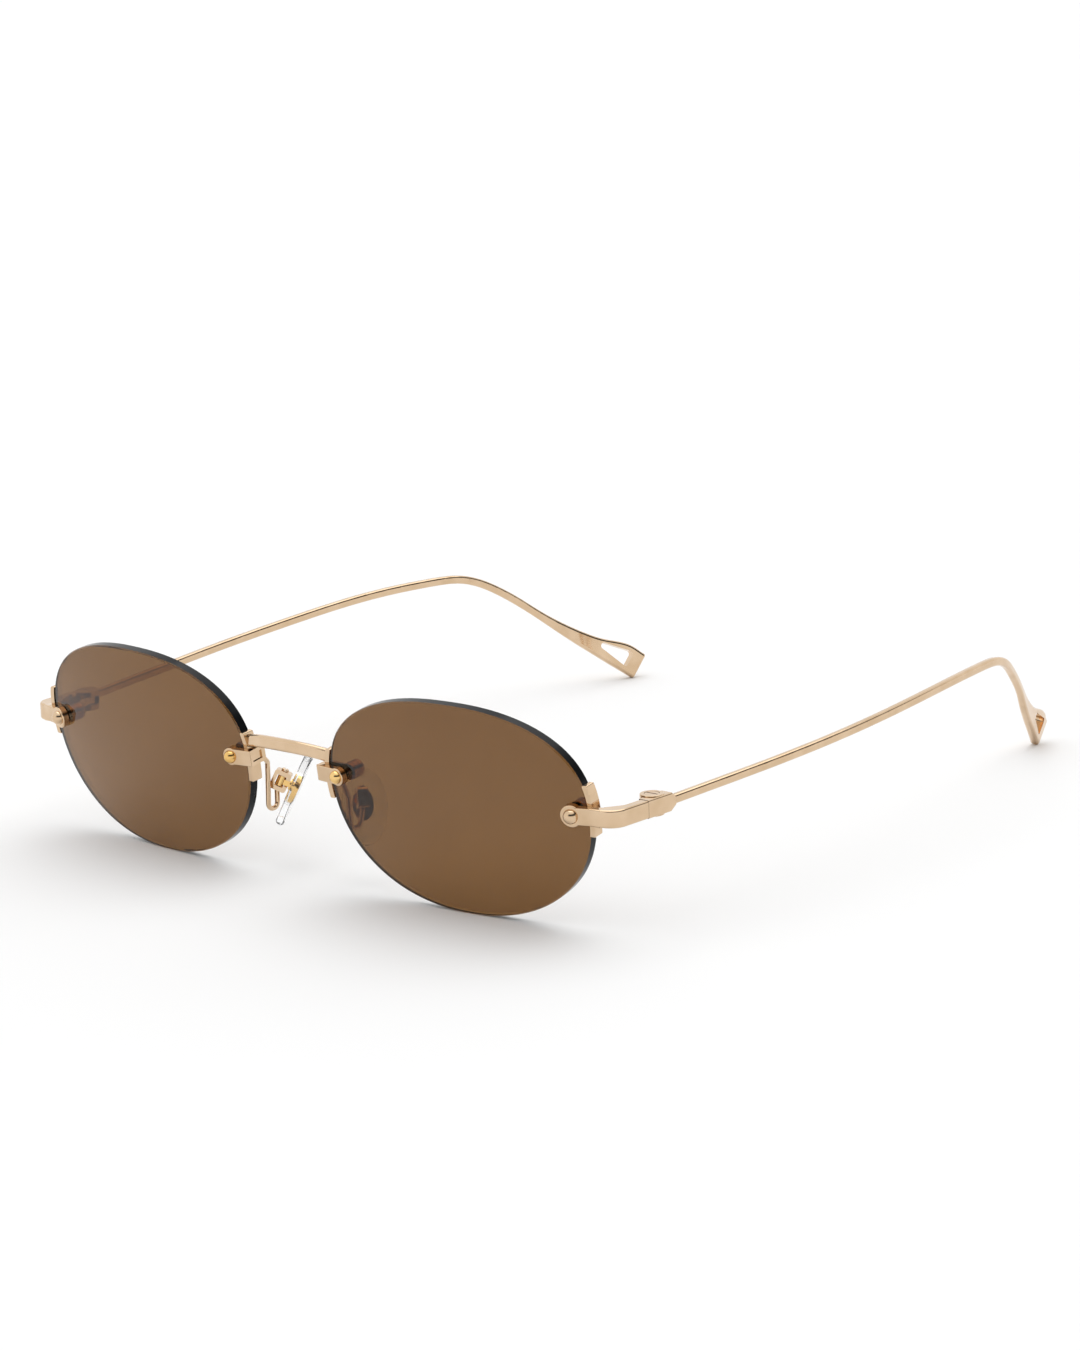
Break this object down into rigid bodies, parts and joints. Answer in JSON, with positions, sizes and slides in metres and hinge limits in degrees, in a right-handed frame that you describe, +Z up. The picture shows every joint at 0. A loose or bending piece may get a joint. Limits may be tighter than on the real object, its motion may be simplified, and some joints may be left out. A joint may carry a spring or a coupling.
{
  "type": "rimless eyeglasses",
  "caption": "Rimless oval tinted sunglasses with screw-mounted bridge and endpieces, folding wire temples with pierced tips and rocking nose pads.",
  "frame": {"origin": "on the surface the glasses stand on, below the front of the bridge; X = 0 is the plane of symmetry", "axes": "+X to the wearer's left, +Y from the lenses back along the temples, +Z up"},
  "size_m": [0.1362, 0.1475, 0.0358],
  "materials": {
    "frame_gold": "polished champagne gold",
    "screw_gold": "polished yellow gold",
    "lens_tint": "brown tinted, polished",
    "pad_silicone": "clear soft silicone",
    "bushing_plastic": "clear plastic sleeve"
  },
  "bodies": {
    "front": {"bridge": "frame_gold", "lens_left": "lens_tint", "lens_right": "lens_tint", "bridge_clamp_left": "frame_gold", "bridge_clamp_right": "frame_gold", "bridge_edge_stop_left": "frame_gold", "bridge_edge_stop_right": "frame_gold", "bridge_screw_left": "screw_gold", "bridge_screw_right": "screw_gold", "bridge_bushing_left": "bushing_plastic", "bridge_bushing_right": "bushing_plastic", "bridge_nut_left": "screw_gold", "bridge_nut_right": "screw_gold", "pad_arm_left": "frame_gold", "pad_arm_right": "frame_gold", "pad_box_left": "frame_gold", "pad_box_right": "frame_gold", "pad_screw_left": "screw_gold", "pad_screw_right": "screw_gold", "endpiece_left": "frame_gold", "endpiece_right": "frame_gold", "endpiece_edge_stop_left": "frame_gold", "endpiece_edge_stop_right": "frame_gold", "endpiece_screw_left": "frame_gold", "endpiece_screw_right": "frame_gold", "endpiece_bushing_left": "bushing_plastic", "endpiece_bushing_right": "bushing_plastic", "endpiece_washer_left": "screw_gold", "endpiece_washer_right": "screw_gold", "endpiece_nut_left": "screw_gold", "endpiece_nut_right": "screw_gold"},
    "temple_left_body": {"temple_hinge_left": "frame_gold", "hinge_screw_left": "frame_gold", "temple_left": "frame_gold"},
    "temple_right_body": {"temple_hinge_right": "frame_gold", "hinge_screw_right": "frame_gold", "temple_right": "frame_gold"},
    "nose_pad_left_body": {"pad_insert_left": "frame_gold", "nose_pad_left": "pad_silicone"},
    "nose_pad_right_body": {"pad_insert_right": "frame_gold", "nose_pad_right": "pad_silicone"}
  },
  "joints": [
    {"name": "temple_left_fold", "type": "hinge", "parent": "front", "child": "temple_left_body", "pos_m": [0.06385, 0.0156, 0.0199], "axis": [0, 0, 1], "range_deg": [0, 85]},
    {"name": "temple_right_fold", "type": "hinge", "parent": "front", "child": "temple_right_body", "pos_m": [-0.06385, 0.0156, 0.0199], "axis": [0, 0, -1], "range_deg": [0, 79]},
    {"name": "nose_pad_left_rock", "type": "hinge", "parent": "front", "child": "nose_pad_left_body", "pos_m": [0.00965, 0.00727, 0.01485], "axis": [-0.3483, 0.2952, 0.8897], "range_deg": [-9, 9]},
    {"name": "nose_pad_right_rock", "type": "hinge", "parent": "front", "child": "nose_pad_right_body", "pos_m": [-0.00965, 0.00727, 0.01485], "axis": [0.3483, 0.2952, 0.8897], "range_deg": [-9, 9]}
  ]
}
